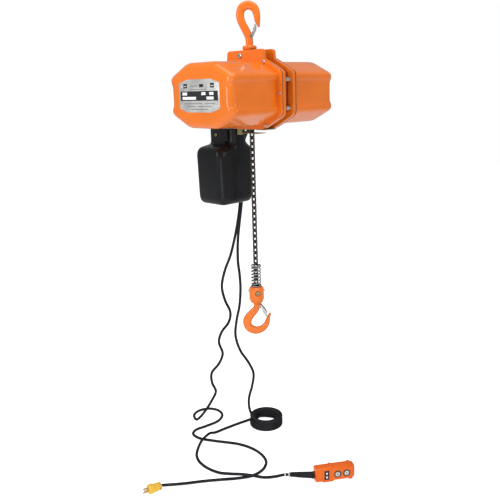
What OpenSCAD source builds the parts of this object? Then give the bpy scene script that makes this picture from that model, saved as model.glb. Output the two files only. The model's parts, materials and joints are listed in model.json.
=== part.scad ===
// Electric chain hoist hung from its top hook. Millimetres, +Z up.
// The origin is the saddle of the top hook, and the load hangs down the Z axis.
// X runs along the body, from the nameplate end (-X) to the motor end (+X).

/* [Housing] */
// Width of the covers across the body
cover_w = 308; // [290:1:330]
// Height of the covers
cover_h = 210; // [200:1:220]
// Length of the front cover, from its flange to its end face
front_len = 213; // [200:1:225]
// Length of the rear cover, from its gasket to its end face
rear_len = 222; // [215:1:230]
// Wall thickness of the covers
cover_wall = 4; // [3:0.5:5]
// Width of the frame plates and the cover flanges
plate_w = 340; // [330:1:350]
// Height of the frame plates below the suspension ears
plate_h = 236; // [230:1:244]
// Thickness of each frame plate
plate_t = 13; // [12:0.5:15]
// Gap between the two frame plates
frame_gap = 35; // [35:0.5:37]

/* [Load chain] */
// Wire diameter of the load chain
wire_d = 6.8; // [6.6:0.1:7]
// Inside length of a link
link_pitch = 21; // [21:1:21]
// Links hanging between the wheel and the hook block
fall_links = 34; // [34:1:34]

/* [Hooks] */
// Inside diameter of the upper hook's bowl
top_bowl_d = 30; // [26:1:32]
// Inside diameter of the lower hook's bowl
low_bowl_d = 50; // [46:1:52]
// Thickness of the hooks across their flat sides
hook_t = 24; // [20:1:26]

/* [Chain container] */
// Outside length of the container along X
box_x = 175; // [165:1:180]
// Outside width of the container along Y
box_y = 138; // [130:1:140]
// Height of the container below its neck
box_h = 204; // [190:1:208]
// Wall of the container
box_wall = 3.5; // [3:0.5:4]

/* [Pendant control] */
// Length of the pendant
pend_l = 150; // [145:1:160]
// Height of the pendant as it lies on its long side
pend_h = 62; // [60:1:68]
// Depth of the pendant behind its button face
pend_d = 38; // [36:1:44]
// Diameter of each button
button_d = 19; // [17:0.5:21]

/* [Cords] */
// Diameter of both cords
cord_d = 11; // [9:0.5:12]
// Middle diameter of the stored coil of pendant cord
coil_mid_d = 118; // [112:1:122]

/* [Hidden] */
$fn = 48;

// Places shared by several pieces
body_y = -10;
body_z = -277;
plate_in = frame_gap / 2;
plate_out = plate_in + plate_t;
flange_t = 4;
gasket_front = 1.5;
gasket_rear = 3.5;
front_x = -plate_out - gasket_front;
rear_x = plate_out + gasket_rear;
wheel_z = -270;
bolt_y = 16;
bolt_z = -149;
latch_pin_r = 2.5;
floor_z = -1650;
clear = 0.05;

// Chain and pocket wheel: flat links lie in the pockets, upright links run in the groove
pockets = 5;
pivot_r = 34.18;
flat_r = sqrt(pow(pivot_r, 2) - pow(14, 2));
upright_r = sqrt(pow(pivot_r, 2) - pow(7, 2));
wheel_y = flat_r;
eye_w = 9.2;
slack_y = wheel_y + upright_r;
first_z = wheel_z - link_pitch;
last_z = first_z - (fall_links - 1) * link_pitch;
pin_r = 4.2;
pin_z = last_z - link_pitch / 2 + pin_r + 0.1;

// Gear train, all on axes parallel to X
pressure = 25;
fast_module = 1.25;
slow_module = 2;
pinion_teeth = 10;
gear_teeth = 60;
slow_centres = slow_module * (pinion_teeth + gear_teeth) / 2;
fast_centres = fast_module * (pinion_teeth + gear_teeth) / 2;
mid_y = wheel_y - slow_centres;
motor_y = mid_y - fast_centres;
half_tooth = 180 / pinion_teeth;
tooth_share = 81;

// Hook block
block_z = -977;
block_h = 65;
block_low = block_z - block_h;
view_turn = -45;

// Cord routes: straight out of the gland, down under gravity, then along the floor
lie_z = floor_z + 5.7;
power_route = [[108, 117, -387], [108, 130, -411], [106, 147, -440], [102, 157, -480], [98, 162, -560],
    [95, 165, -640], [90, 170, -700], [82, 178, -770], [70, 188, -840], [56, 200, -905], [38, 216, -965],
    [28, 226, -1030], [36, 219, -1090], [50, 206, -1140], [44, 212, -1185], [22, 232, -1225],
    [12, 241, -1270], [22, 232, -1320], [10, 244, -1365], [-14, 265, -1405], [-14, 266, -1450],
    [-4, 256, -1490], [-18, 268, -1530], [-36, 285, -1570], [-48, 312, -1610], [-42, 350, -1640],
    [-18, 394, lie_z], [25, 408, lie_z], [66, 388, lie_z], [82, 345, lie_z], [64, 300, lie_z],
    [15, 276, lie_z], [-45, 282, lie_z], [-95, 290, lie_z], [-126, 270, lie_z], [-128, 225, lie_z],
    [-108, 180, lie_z], [-80, 130, lie_z], [-52, 78, lie_z], [-38, 20, lie_z], [-42, -40, lie_z],
    [-66, -92, lie_z], [-112, -120, lie_z], [-165, -120, lie_z], [-215, -92, lie_z], [-260, -55, lie_z],
    [-310, -15, lie_z], [-366, 25, lie_z], [-410, 52, -1640], [-445, 66, -1632]];
upper_route = [[84, 117, -387], [84, 130, -411], [85, 145, -440], [87, 150, -480], [88, 151, -560],
    [88, 152, -640], [85, 156, -700], [78, 163, -770], [72, 169, -840], [70, 171, -920],
    [74, 168, -980], [75, 167, -1040], [70, 171, -1110], [60, 181, -1175], [56, 186, -1240],
    [68, 174, -1305], [92, 152, -1360], [106, 139, -1410], [100, 143, -1465], [88, 152, -1520],
    [86, 150, -1565], [88, 136, -1592], [92, 115, -1620]];
lower_route = [[163, 173, lie_z], [118, 184, lie_z], [60, 196, lie_z], [0, 206, lie_z],
    [-55, 212, -1643], [-85, 210, -1633], [-115, 203, -1632], [-150, 190, -1634], [-190, 166, -1643],
    [-222, 134, lie_z], [-242, 92, lie_z], [-248, 40, lie_z], [-240, -15, -1643], [-222, -62, -1636],
    [-201, -98, -1632], [-178, -130, -1634], [-150, -162, -1641], [-124, -192, -1637],
    [-104, -216, -1629], [-88, -237, -1626]];
coil_at = [150, 115];
coil_w = 26;
coil_h = 44;

// Pendant frame: origin at its lower front left corner, X along its length, Y away from the buttons
pend_at = [-44, -320, floor_z];
pend_turn = -34;
boot_y = 19;
button_x = [81, 115];
button_z = 31;

// Plug frame: origin where the cord enters, Z towards the blades
plug_at = [-445, 66, -1632];
plug_turn = 165;
plug_l = 50;

// Points on a smooth curve through a route
function blend4(a, b, c, d, t) = 0.5 * (2 * b + (c - a) * t + (2 * a - 5 * b + 4 * c - d) * t * t
    + (3 * b - a - 3 * c + d) * t * t * t);
function at(p, i) = p[max(0, min(len(p) - 1, i))];
function smooth(p, n) = concat([for (i = [0 : len(p) - 2], k = [0 : n - 1])
    blend4(at(p, i - 1), p[i], p[i + 1], at(p, i + 2), k / n)], [p[len(p) - 1]]);
function unit(v) = v / norm(v);

// Corners rounded by short curves
function corner(a, p, b, r, n) = let (u = unit(a - p) * min(r, norm(a - p) * 0.45),
    w = unit(b - p) * min(r, norm(b - p) * 0.45))
    [for (k = [0 : n]) let (t = k / n) p + u * pow(1 - t, 2) + w * pow(t, 2)];
function rounded(p, r, n) = [for (i = [0 : len(p) - 1])
    each corner(p[(i + len(p) - 1) % len(p)], p[i], p[(i + 1) % len(p)], r, n)];

// Half outlines are listed once and mirrored
function mirrored(half) = concat(half, [for (i = [len(half) - 1 : -1 : 0]) [-half[i][0], half[i][1]]]);
function cover_outline(e) = let (w = cover_w / 2 - e, h = cover_h / 2 - e)
    mirrored([[w * 0.45, h], [w, h * 0.6], [w, h * 0.43], [w - 7, h * 0.35], [w - 7, -h * 0.35],
        [w, -h * 0.43], [w, -h * 0.6], [w * 0.45, -h]]);
function plate_outline() = let (w = plate_w / 2, h = plate_h / 2)
    mirrored([[w * 0.45, h], [w, h * 0.6], [w, -h * 0.6], [w * 0.45, -h]]);
function box_outline(x, y) = [[x / 2, y / 2], [-x / 2, y / 2], [-x / 2, -y / 2], [x / 2, -y / 2]];

// Lays an outline drawn in Y and Z along X, from x
module along_x(x, length) {
    translate([x, 0, 0]) rotate([90, 0, 90]) linear_extrude(length) children();
}

// A cylinder along X, starting at x
module rod_x(x, y, z, r, length) {
    translate([x, y, z]) rotate([0, 90, 0]) cylinder(r = r, h = length);
}

// A ring along X
module ring_x(x, y, z, outer, inner, length) {
    difference() {
        rod_x(x, y, z, outer, length);
        rod_x(x - 1, y, z, inner, length + 2);
    }
}

// A plain hexagon head or nut along X
module hex_x(x, y, z, r, length) {
    translate([x, y, z]) rotate([0, 90, 0]) cylinder(r = r, h = length, $fn = 6);
}

// A tube swept along a route
module tube(route, r, sides, steps, reference = [0.6, 0.75, 0.28]) {
    path = smooth(route, steps);
    last = len(path) - 1;
    rings = [for (i = [0 : last]) let (d = unit(path[min(i + 1, last)] - path[max(i - 1, 0)]),
        side = unit(cross(d, reference)), up = cross(side, d))
        for (k = [0 : sides - 1]) path[i] + r * (cos(360 * k / sides) * side + sin(360 * k / sides) * up)];
    walls = [for (i = [0 : last - 1], k = [0 : sides - 1])
        [i * sides + k, i * sides + (k + 1) % sides, (i + 1) * sides + (k + 1) % sides, (i + 1) * sides + k]];
    start = [[for (k = [sides - 1 : -1 : 0]) k]];
    end = [[for (k = [0 : sides - 1]) last * sides + k]];
    polyhedron(rings, concat(walls, start, end));
}

// Involute tooth flank, as angles either side of a tooth's middle
function roll(base, r) = let (a = acos(min(1, base / r))) tan(a) * 180 / PI - a;
function flank(m, n, r) = let (pitch = m * n / 2, base = pitch * cos(pressure))
    tooth_share / n + roll(base, pitch) - roll(base, max(r, base));
function tooth(m, n) = let (pitch = m * n / 2, root = pitch - 1.15 * m, tip = pitch + 0.8 * m,
    low = max(root, pitch * cos(pressure) + 0.01), steps = [0, 0.35, 0.7, 1],
    foot = root < low ? [[root, flank(m, n, low)]] : [])
    concat([for (q = foot) [q[0], -q[1]]],
        [for (s = steps) let (r = low + (tip - low) * s) [r, -flank(m, n, r)]],
        [for (i = [3 : -1 : 0], s = [steps[i]]) let (r = low + (tip - low) * s) [r, flank(m, n, r)]], foot);
function gear_points(m, n, turn) = [for (i = [0 : n - 1], q = tooth(m, n))
    q[0] * [cos(360 * i / n + turn + q[1]), sin(360 * i / n + turn + q[1])]];
module spur(x, y, m, n, width, turn) {
    along_x(x, width) translate([y, wheel_z]) polygon(gear_points(m, n, turn));
}

// One link of chain in the XZ plane, long axis on Z
module link() {
    r = wire_d / 2;
    leg = (eye_w + wire_d) / 2;
    straight = link_pitch - eye_w;
    for (s = [-1, 1]) {
        translate([s * leg, 0, -straight / 2]) cylinder(r = r, h = straight, $fn = 24);
        translate([0, 0, s * straight / 2]) rotate([90, 0, 0])
            rotate([0, 0, s > 0 ? 0 : 180]) rotate_extrude(angle = 180, $fn = 32)
                translate([leg, 0]) circle(r = r, $fn = 24);
    }
}

// A link on the wheel, at an angle measured from +Y
module wheel_link(angle, flat) {
    translate([0, wheel_y, wheel_z]) rotate([angle, 0, 0]) translate([0, flat ? flat_r : upright_r, 0])
        rotate([0, 0, flat ? 0 : 90]) link();
}

module front_frame() { color("darkorange") frame_plate(-plate_out); }
module rear_frame() { color("darkorange") frame_plate(plate_in); }
module frame_plate(x) {
    difference() {
        union() {
            along_x(x, plate_t) translate([body_y, body_z]) polygon(rounded(plate_outline(), 14, 3));
            along_x(x, plate_t) polygon([[-98, -185], [-92, -138], [-84, -132], [72, -132], [80, -138],
                [86, -185]]);
        }
        rod_x(x - 1, wheel_y, wheel_z, 20, plate_t + 2);
        rod_x(x - 1, motor_y, wheel_z, 14, plate_t + 2);
        if (x < 0) rod_x(x - 1, mid_y, wheel_z, 11, plate_t + 2);
        rod_x(x - 1, bolt_y, bolt_z, 5, plate_t + 2);
    }
}

module cover(x, length, open_end) {
    flange_at = open_end > 0 ? x - flange_t : x;
    start = open_end > 0 ? x - length : x;
    inner = open_end > 0 ? start + cover_wall : start - 1;
    union() {
        difference() {
            along_x(start, length) translate([body_y, body_z]) polygon(rounded(cover_outline(0), 10, 3));
            along_x(inner, length - cover_wall + 1) translate([body_y, body_z])
                polygon(rounded(cover_outline(cover_wall), 8, 3));
        }
        difference() {
            along_x(flange_at, flange_t) translate([body_y, body_z]) polygon(rounded(plate_outline(), 14, 3));
            along_x(flange_at - 1, flange_t + 2) translate([body_y, body_z])
                polygon(rounded(cover_outline(cover_wall), 8, 3));
        }
    }
}

module front_cover() { color("darkorange") cover(front_x, front_len, 1); }
module rear_cover() {
    color("darkorange") difference() {
        cover(rear_x, rear_len, -1);
        for (x = [84, 108]) gland_at(x) translate([0, 0, -12]) cylinder(r = 8, h = 24);
    }
}

module gasket(x, t) {
    along_x(x, t) difference() {
        translate([body_y, body_z]) polygon(rounded(plate_outline(), 14, 3));
        translate([body_y, body_z]) polygon(rounded(cover_outline(cover_wall), 8, 3));
    }
}
module cover_gaskets() {
    color("dimgray") {
        gasket(-plate_out - gasket_front, gasket_front);
        gasket(plate_out, gasket_rear);
    }
}

// Screw places on the flanges, in Y and Z from the middle of the body
screw_at = [[-92, 103], [-160, 0], [-92, -103], [92, 103], [160, 0], [92, -103]];
module cover_screws() {
    color("silver") for (p = screw_at) {
        rod_x(front_x - flange_t - 4, body_y + p[0], body_z + p[1], 5, 4);
        rod_x(rear_x + flange_t, body_y + p[0], body_z + p[1], 5, 4);
    }
}

plate_end = front_x - front_len;
module nameplate() {
    color("lightgray") along_x(plate_end - 1, 1) translate([body_y, body_z]) polygon(mirrored(
        [[60, 52], [99, 40], [99, -40], [60, -52]]));
}
hanger = [111, -352];
module spacer_posts() {
    color("silver") {
        for (y = [-158, 158], z = [-48, 44]) rod_x(-plate_in, body_y + y, body_z + z, 8, frame_gap);
        rod_x(-plate_in, hanger[0], hanger[1], 5, frame_gap);
    }
}

module chain_housing() {
    color("firebrick") along_x(-plate_in, frame_gap) polygon([[-158, -212], [-146, -198], [-100, -188],
        [96, -188], [104, -200], [104, -386], [92, -386], [92, -204], [-96, -204], [-140, -214],
        [-146, -220], [-146, -345], [-158, -335]]);
}

module chain_guide() {
    color("gray") difference() {
        translate([-plate_in, -32, -386]) cube([frame_gap, 124, 34]);
        for (y = [0, slack_y]) translate([-14, y - 14, -387]) cube([28, 28, 36]);
    }
}

module guide_plates() {
    color("goldenrod") {
        difference() {
            union() {
                translate([-30, -34, -398]) cube([60, 62, 3]);
                for (x = [-30, 23]) translate([x, 20, -416]) cube([7, 23, 21]);
            }
            translate([-16, -16, -399]) cube([32, 32, 5]);
            rod_x(-31, lever_y, lever_z + 3, 4 + clear, 62);
        }
        translate([-30, -90, -398]) cube([60, 40, 3]);
    }
}

stem_r = 9;
module crosshead() {
    color("gray") difference() {
        translate([-plate_in + clear, -34, -186]) cube([frame_gap - 2 * clear, 68, 53]);
        translate([0, 0, -190]) cylinder(r = stem_r, h = 60);
        translate([0, 0, -187]) cylinder(r = 16, h = 24);
        rod_x(-20, bolt_y, bolt_z, 5, 40);
    }
}

module crosshead_bolt() {
    color("silver") union() {
        rod_x(-plate_out, bolt_y, bolt_z, 4.9, 2 * plate_out);
        hex_x(-plate_out - 6, bolt_y, bolt_z, 9, 6);
        hex_x(plate_out, bolt_y, bolt_z, 9, 8);
    }
}

module thrust_washer_top() {
    color("silver") difference() {
        translate([0, 0, -166]) cylinder(r = 15.5, h = 3);
        translate([0, 0, -167]) cylinder(r = stem_r + 0.3, h = 5);
    }
}

// The upper hook stands bowl up, so its saddle is at the origin
top_pivot = [6, -86];
module top_hook() {
    color("darkorange") rotate([0, 0, view_turn]) difference() {
        union() {
            rotate([90, 0, 0]) translate([0, 0, -hook_t / 2]) linear_extrude(hook_t) top_outline();
            translate([0, 0, -116]) cylinder(r = 13, h = 34);
            translate([0, 0, -180]) cylinder(r = stem_r - clear, h = 66);
        }
        pivot_hole(top_pivot);
    }
}
module pivot_hole(at) {
    translate([at[0], hook_t, at[1]]) rotate([90, 0, 0]) cylinder(r = latch_pin_r + clear, h = 2 * hook_t);
}
module top_outline() {
    r = top_bowl_d / 2;
    difference() {
        union() {
            translate([-2, -12]) circle(r = r + 26);
            polygon([[-43, -12], [-41, -28], [-30, -55], [-13, -92], [13, -92], [13, -60], [0, -20]]);
            polygon([[39, -12], [39.5, -35], [35.5, -58], [20, -50], [10, -20]]);
        }
        translate([0, -r]) circle(r = r);
        polygon([[-r, -16], [-14, -28], [-8, -48], [3.7, -70], [13, -86], [60, -86], [60, -58],
            [35.5, -58], [26, -48], [20, -38], [r, -16]]);
    }
}

module top_collar() {
    color("darkorange") difference() {
        translate([0, 0, -131.5]) cylinder(r = 25, h = 15.5);
        translate([0, 0, -133]) cylinder(r = stem_r - clear, h = 20);
    }
}

module top_nut() {
    color("dimgray") difference() {
        translate([0, 0, -178]) cylinder(r = 14, h = 11.7, $fn = 6);
        translate([0, 0, -179]) cylinder(r = stem_r - clear, h = 14);
    }
}

// Latches are bent sheet: two cheeks either side of the hook and a tongue that reaches the tip
cheek = hook_t / 2 + 1;
module latch(length) {
    t = 1.5;
    bridge = length * 0.55;
    for (s = [-1, 1]) translate([0, s * (cheek + t / 2) - t / 2, -5]) cube([bridge + 3, t, 10]);
    translate([bridge, -cheek - t, -2]) cube([3, 2 * (cheek + t), 2]);
    translate([bridge, -6, -2]) cube([length - bridge, 12, 2]);
    rotate([90, 0, 0]) translate([0, 0, -cheek - 2]) cylinder(r = latch_pin_r, h = 2 * cheek + 4);
}
module top_latch() {
    color("silver") rotate([0, 0, view_turn]) translate([top_pivot[0], 0, top_pivot[1]])
        rotate([0, -70, 0]) latch(44);
}

module load_wheel() {
    color("dimgray") difference() {
        rod_x(-15, wheel_y, wheel_z, 38, 30);
        translate([0, wheel_y, wheel_z]) rotate([0, 90, 0]) rotate_extrude()
            translate([21, -4.2]) square([20, 8.4]);
        for (i = [0 : pockets - 1]) translate([0, wheel_y, wheel_z]) rotate([180 + 72 * i, 0, 0])
            translate([-12.8, 26.2, -18.8]) cube([25.6, 20, 37.6]);
        rod_x(-16, wheel_y, wheel_z, 12, 32);
    }
}
module load_shaft() { color("silver") rod_x(-95, wheel_y, wheel_z, 12 - clear, 127); }
module load_gear() {
    color("gray") difference() {
        spur(-76, wheel_y, slow_module, gear_teeth, 18, 0);
        rod_x(-80, wheel_y, wheel_z, 12 - clear, 26);
    }
}
module intermediate_gear() {
    color("gray") union() {
        spur(-50, mid_y, fast_module, gear_teeth, 10, 0);
        spur(-77, mid_y, slow_module, pinion_teeth, 27, half_tooth);
        rod_x(-95, mid_y, wheel_z, 6, 19);
        rod_x(-41, mid_y, wheel_z, 6, 22);
    }
}

module gear_case() {
    color("gray") difference() {
        translate([-96, -104, -342]) cube([96 - plate_out, 202, 142]);
        translate([-92, -100, -338]) cube([96 - plate_out, 194, 134]);
        rod_x(-97, wheel_y, wheel_z, 12, 6);
        rod_x(-97, mid_y, wheel_z, 6 + clear, 6);
    }
}

module shaft_bearings() {
    color("silver") {
        ring_x(-plate_out, wheel_y, wheel_z, 20, 12, 11);
        ring_x(plate_in + 2, wheel_y, wheel_z, 20, 12, 11);
        ring_x(-plate_out, mid_y, wheel_z, 11, 6 + clear, 11);
        ring_x(-plate_out, motor_y, wheel_z, 14, 8 + clear, 11);
        ring_x(plate_in + 2, motor_y, wheel_z, 14, 8 + clear, 11);
    }
}

module motor_shaft() {
    color("silver") union() {
        rod_x(-38, motor_y, wheel_z, 8, 270);
        spur(-52, motor_y, fast_module, pinion_teeth, 14, half_tooth);
    }
}
module rotor_core() { color("gray") ring_x(60, motor_y, wheel_z, 39.3, 8, 80); }
module brake_disc() { color("dimgray") ring_x(199, motor_y, wheel_z, 40, 8, 5); }
module cooling_fan() {
    color("black") {
        ring_x(213, motor_y, wheel_z, 16, 8, 14);
        difference() {
            ring_x(213, motor_y, wheel_z, 50, 16, 14);
            for (a = [0 : 45 : 359]) translate([215, motor_y, wheel_z]) rotate([a, 0, 0])
                translate([0, -13, 20]) cube([20, 26, 40]);
        }
    }
}
module motor_housing() { color("silver") ring_x(plate_out, motor_y, wheel_z, 69, 65, 172 - plate_out); }
module stator() {
    color("saddlebrown") {
        ring_x(60, motor_y, wheel_z, 65, 40, 80);
        ring_x(45, motor_y, wheel_z, 62, 42, 15);
        ring_x(140, motor_y, wheel_z, 62, 42, 15);
    }
}
module end_bell() { color("silver") ring_x(172, motor_y, wheel_z, 69, 8 + clear, 8); }
module brake_coil() { color("darkgreen") ring_x(180, motor_y, wheel_z, 45, 12, 14); }
module brake_armature() { color("gray") ring_x(194.5, motor_y, wheel_z, 42, 12, 4.2); }

module capacitors() { color("black") for (z = [-230, -290]) rod_x(plate_out, 78, z, 21, 90); }
module contactors() { color("ivory") for (y = [-110, -40]) translate([-166, y, -300]) cube([70, 55, 70]); }
module transformer() { color("gray") translate([-161, 30, -310]) cube([65, 60, 80]); }

box_at = [-27.5, 117];
box_top = -462;
neck = [71, 110];
neck_at = [-8.5, 101];
neck_top = -396;
module chain_container() {
    color("black") difference() {
        union() {
            difference() {
                union() {
                    translate([box_at[0], box_at[1], box_top - box_h]) linear_extrude(box_h)
                        polygon(rounded(box_outline(box_x, box_y), 22, 4));
                    translate([neck_at[0], neck_at[1], box_top - 1]) linear_extrude(neck_top - box_top + 1)
                        polygon(rounded(box_outline(neck[0], neck[1]), 8, 3));
                }
                translate([box_at[0], box_at[1], box_top - box_h + box_wall])
                    linear_extrude(box_h - 2 * box_wall)
                        polygon(rounded(box_outline(box_x - 2 * box_wall, box_y - 2 * box_wall), 19, 4));
                translate([neck_at[0], neck_at[1], box_top - 10]) linear_extrude(100)
                    polygon(rounded(box_outline(neck[0] - 2 * box_wall, neck[1] - 2 * box_wall), 6, 3));
            }
            translate([-42, hanger[0] - 5, neck_top - 22]) cube([67, 10, 22]);
            translate([-plate_in + 0.2, hanger[0] - 5, neck_top - 5]) cube([frame_gap - 0.4, 10, 56]);
        }
        rod_x(-plate_in - 1, hanger[0], hanger[1], 5 + clear, frame_gap + 2);
    }
}

// The lever hangs on the guide plates and lifts the switch plunger when the spring reaches it
lever_z = -412;
lever_y = 34;
module limit_lever() {
    color("goldenrod") difference() {
        union() {
            translate([-22, -48, lever_z]) cube([44, 80, 2]);
            rod_x(-29, lever_y, lever_z + 3, 4, 58);
        }
        translate([0, 0, lever_z - 1]) cylinder(r = 13.5, h = 4);
    }
}

module limit_switch() {
    color("black") union() {
        translate([-plate_in, -62, -386]) cube([frame_gap, 28, 26]);
        translate([-5, -46, -399]) cube([10, 8, 14]);
    }
}

module chain_fall() {
    color("dimgray") for (i = [0 : fall_links - 1]) translate([0, 0, first_z - i * link_pitch])
        rotate([0, 0, i % 2 == 0 ? 90 : 0]) link();
}
module chain_wrap() {
    color("dimgray") for (i = [0 : 2]) {
        wheel_link(180 - 72 * i, true);
        wheel_link(144 - 72 * i, false);
    }
}
module chain_slack() {
    color("dimgray") for (i = [0 : 12]) translate([0, slack_y, first_z - i * link_pitch])
        rotate([0, 0, i % 2 == 0 ? 0 : 90]) link();
}

module stop_spring() {
    color("silver") for (i = [0 : 6]) translate([0, 0, block_z + 3 + i * 13]) rotate_extrude()
        translate([17, 0]) circle(r = 2.4, $fn = 24);
}

screw_x = 5;
screw_z = block_z - 22;
module block_halves() {
    color("darkorange") rotate([0, 0, view_turn]) for (s = [0, 180]) rotate([0, 0, s]) difference() {
        rotate_extrude(angle = 180) polygon([[0, block_z], [22, block_z], [27, block_z - 6],
            [28, block_z - 46], [24, block_low + 6], [18, block_low], [0, block_low]]);
        translate([0, 0, pin_z - 14]) cylinder(r = 13, h = 60);
        translate([0, 0, block_low - 1]) cylinder(r = 10, h = 30);
        translate([0, 0, block_low + 10]) cylinder(r = 17, h = 18);
        rotate([0, 0, 45]) translate([0, -24, pin_z]) rotate([-90, 0, 0]) cylinder(r = pin_r, h = 48);
        translate([-40, -0.1, block_low - 1]) cube([80, 0.2, block_h + 2]);
        translate([-screw_x, 21, screw_z]) rotate([-90, 0, 0]) cylinder(r = 10.5, h = 12);
    }
}
module block_bolts() {
    color("goldenrod") rotate([0, 0, view_turn]) {
        for (s = [0, 180]) rotate([0, 0, s]) translate([-screw_x, 21, screw_z]) rotate([-90, 0, 0])
            cylinder(r = 7.8, h = 6);
        for (s = [-1, 1]) translate([s * 29.6, 0, block_z - 17]) rotate([0, 90, 0])
            translate([0, 0, -2]) cylinder(r = 4.5, h = 4);
    }
}
module chain_pin() {
    color("silver") translate([0, -23, pin_z]) rotate([-90, 0, 0]) cylinder(r = pin_r - clear, h = 46);
}

low_pivot = [12, block_low - 12];
module lower_hook() {
    color("darkorange") rotate([0, 0, view_turn]) difference() {
        union() {
            rotate([90, 0, 0]) translate([0, 0, -hook_t / 2]) linear_extrude(hook_t)
                translate([0, block_low]) low_outline();
            translate([0, 0, block_low - 30]) cylinder(r = 12, h = 29);
            translate([0, 0, block_low - 2]) cylinder(r = 10 - clear, h = 24);
            translate([0, 0, block_low + 10.2]) cylinder(r = 15, h = 12, $fn = 6);
        }
        pivot_hole(low_pivot);
    }
}
module low_outline() {
    r = low_bowl_d / 2;
    difference() {
        union() {
            translate([-3, -72]) circle(r = r + 26.5);
            polygon([[-12, -1], [12.5, -1], [12.5, -45], [-38, -50], [-24, -30], [-12, -18]]);
            polygon([[47, -78], [49, -58], [56, -41], [51, -37], [46, -41], [30, -75]]);
        }
        translate([0, r - 95]) circle(r = r);
        polygon([[-20, -60], [-9, -50], [2.5, -36], [9, -24], [12.5, -10], [70, -10], [70, -36],
            [51, -37], [46, -41], [36, -58], [r, -72], [0, -72]]);
        polygon([[-12.5, -10], [-12.5, -18], [-24, -30], [-41, -45], [-60, -62], [-60, -10]]);
    }
    difference() {
        translate([12, -12]) circle(r = 6.5);
        translate([0, -5]) square([30, 10]);
    }
}
module lower_latch() {
    color("silver") rotate([0, 0, view_turn]) translate([low_pivot[0], 0, low_pivot[1]])
        rotate([0, 61.6, 0]) latch(50);
}

module gland_at(x) { translate([x, 104, -360]) rotate([206.3, 0, 0]) children(); }
module cord_glands() {
    color("black") for (x = [84, 108]) gland_at(x) difference() {
        union() {
            cylinder(r = 11, h = 14, $fn = 6);
            cylinder(r = 8, h = 24);
            cylinder(r1 = 8, r2 = 7, h = 29.5);
        }
        translate([0, 0, -1]) cylinder(r = 5.3, h = 32);
    }
}
module power_cord() { color("black") tube(power_route, cord_d / 2, 8, 1); }
module pendant_cord_upper() { color("black") tube(upper_route, cord_d / 2, 8, 1); }
module pendant_cord_lower() { color("black") tube(lower_route, cord_d / 2, 8, 1, [0, 0, 1]); }
module pendant_cord_coil() {
    color("black") translate([coil_at[0], coil_at[1], floor_z]) rotate_extrude()
        translate([(coil_mid_d - coil_w) / 2, 0]) square([coil_w, coil_h]);
}

module plug_frame() { translate(plug_at) rotate([0, 90, plug_turn]) children(); }
module plug_body() {
    color("gold") plug_frame() union() {
        cylinder(r = 10, h = 12);
        translate([0, 0, 10]) cylinder(r = 14, h = 22);
        translate([0, 0, 30]) cylinder(r = 17.5, h = plug_l - 30);
    }
}
module plug_blades() {
    color("peru") plug_frame() {
        for (s = [-1, 1]) translate([-6, s * 6.35 - 0.75, plug_l]) cube([6.3, 1.5, 18]);
        translate([7, 0, plug_l]) cylinder(r = 2.38, h = 20.5);
    }
}

module pendant_frame() { translate(pend_at) rotate([0, 0, pend_turn]) children(); }
module pendant_case() {
    color("orangered") pendant_frame() difference() {
        linear_extrude(pend_h) polygon(rounded([[0, 0], [pend_l, 0],
            [pend_l, pend_d], [0, pend_d]], 6, 3));
        translate([4, 4, 4]) cube([pend_l - 8, pend_d - 8, pend_h - 8]);
        for (x = button_x) translate([x, -1, button_z]) rotate([-90, 0, 0]) cylinder(r = button_d / 2, h = 8);
    }
}
module pendant_fittings() {
    color("silver") pendant_frame() for (x = button_x) translate([x, 0, button_z]) rotate([90, 0, 0])
        difference() {
            cylinder(r = button_d / 2 + 4, h = 2);
            translate([0, 0, -1]) cylinder(r = button_d / 2, h = 4);
        }
}

module button(x) {
    color("white") pendant_frame() translate([x, 3, button_z]) rotate([90, 0, 0])
        cylinder(r = button_d / 2 - 0.3, h = 7);
}
module up_button() { button(button_x[1]); }
module down_button() { button(button_x[0]); }

// The boot runs from the resting cord up to the middle of the pendant's end
module pendant_boot() {
    color("black") pendant_frame() difference() {
        translate([0, boot_y, 26]) rotate([0, 0, -17]) rotate([0, -91, 0]) difference() {
            translate([0, 0, -8]) cylinder(r1 = 12.5, r2 = 9, h = 96);
            translate([0, 0, 6]) cylinder(r = 5.7, h = 84);
        }
        cube([40, 60, 70]);
    }
}

front_frame();
rear_frame();
front_cover();
rear_cover();
cover_gaskets();
cover_screws();
nameplate();
limit_switch();
spacer_posts();
chain_housing();
chain_guide();
guide_plates();
crosshead();
crosshead_bolt();
thrust_washer_top();
top_hook();
top_collar();
top_nut();
top_latch();
load_wheel();
load_shaft();
load_gear();
intermediate_gear();
gear_case();
shaft_bearings();
motor_shaft();
rotor_core();
brake_disc();
cooling_fan();
motor_housing();
stator();
end_bell();
brake_coil();
brake_armature();
capacitors();
contactors();
transformer();
chain_container();
limit_lever();
chain_fall();
chain_wrap();
chain_slack();
stop_spring();
block_halves();
block_bolts();
chain_pin();
lower_hook();
lower_latch();
cord_glands();
power_cord();
plug_body();
plug_blades();
pendant_cord_upper();
pendant_cord_coil();
pendant_cord_lower();
pendant_boot();
pendant_case();
pendant_fittings();
up_button();
down_button();
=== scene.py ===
"""Looks of the electric chain hoist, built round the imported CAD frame.

Lengths are in millimetres, which MM turns into metres.
"""
import json
import math
import bmesh
import bpy
from mathutils import Matrix, Vector


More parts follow.
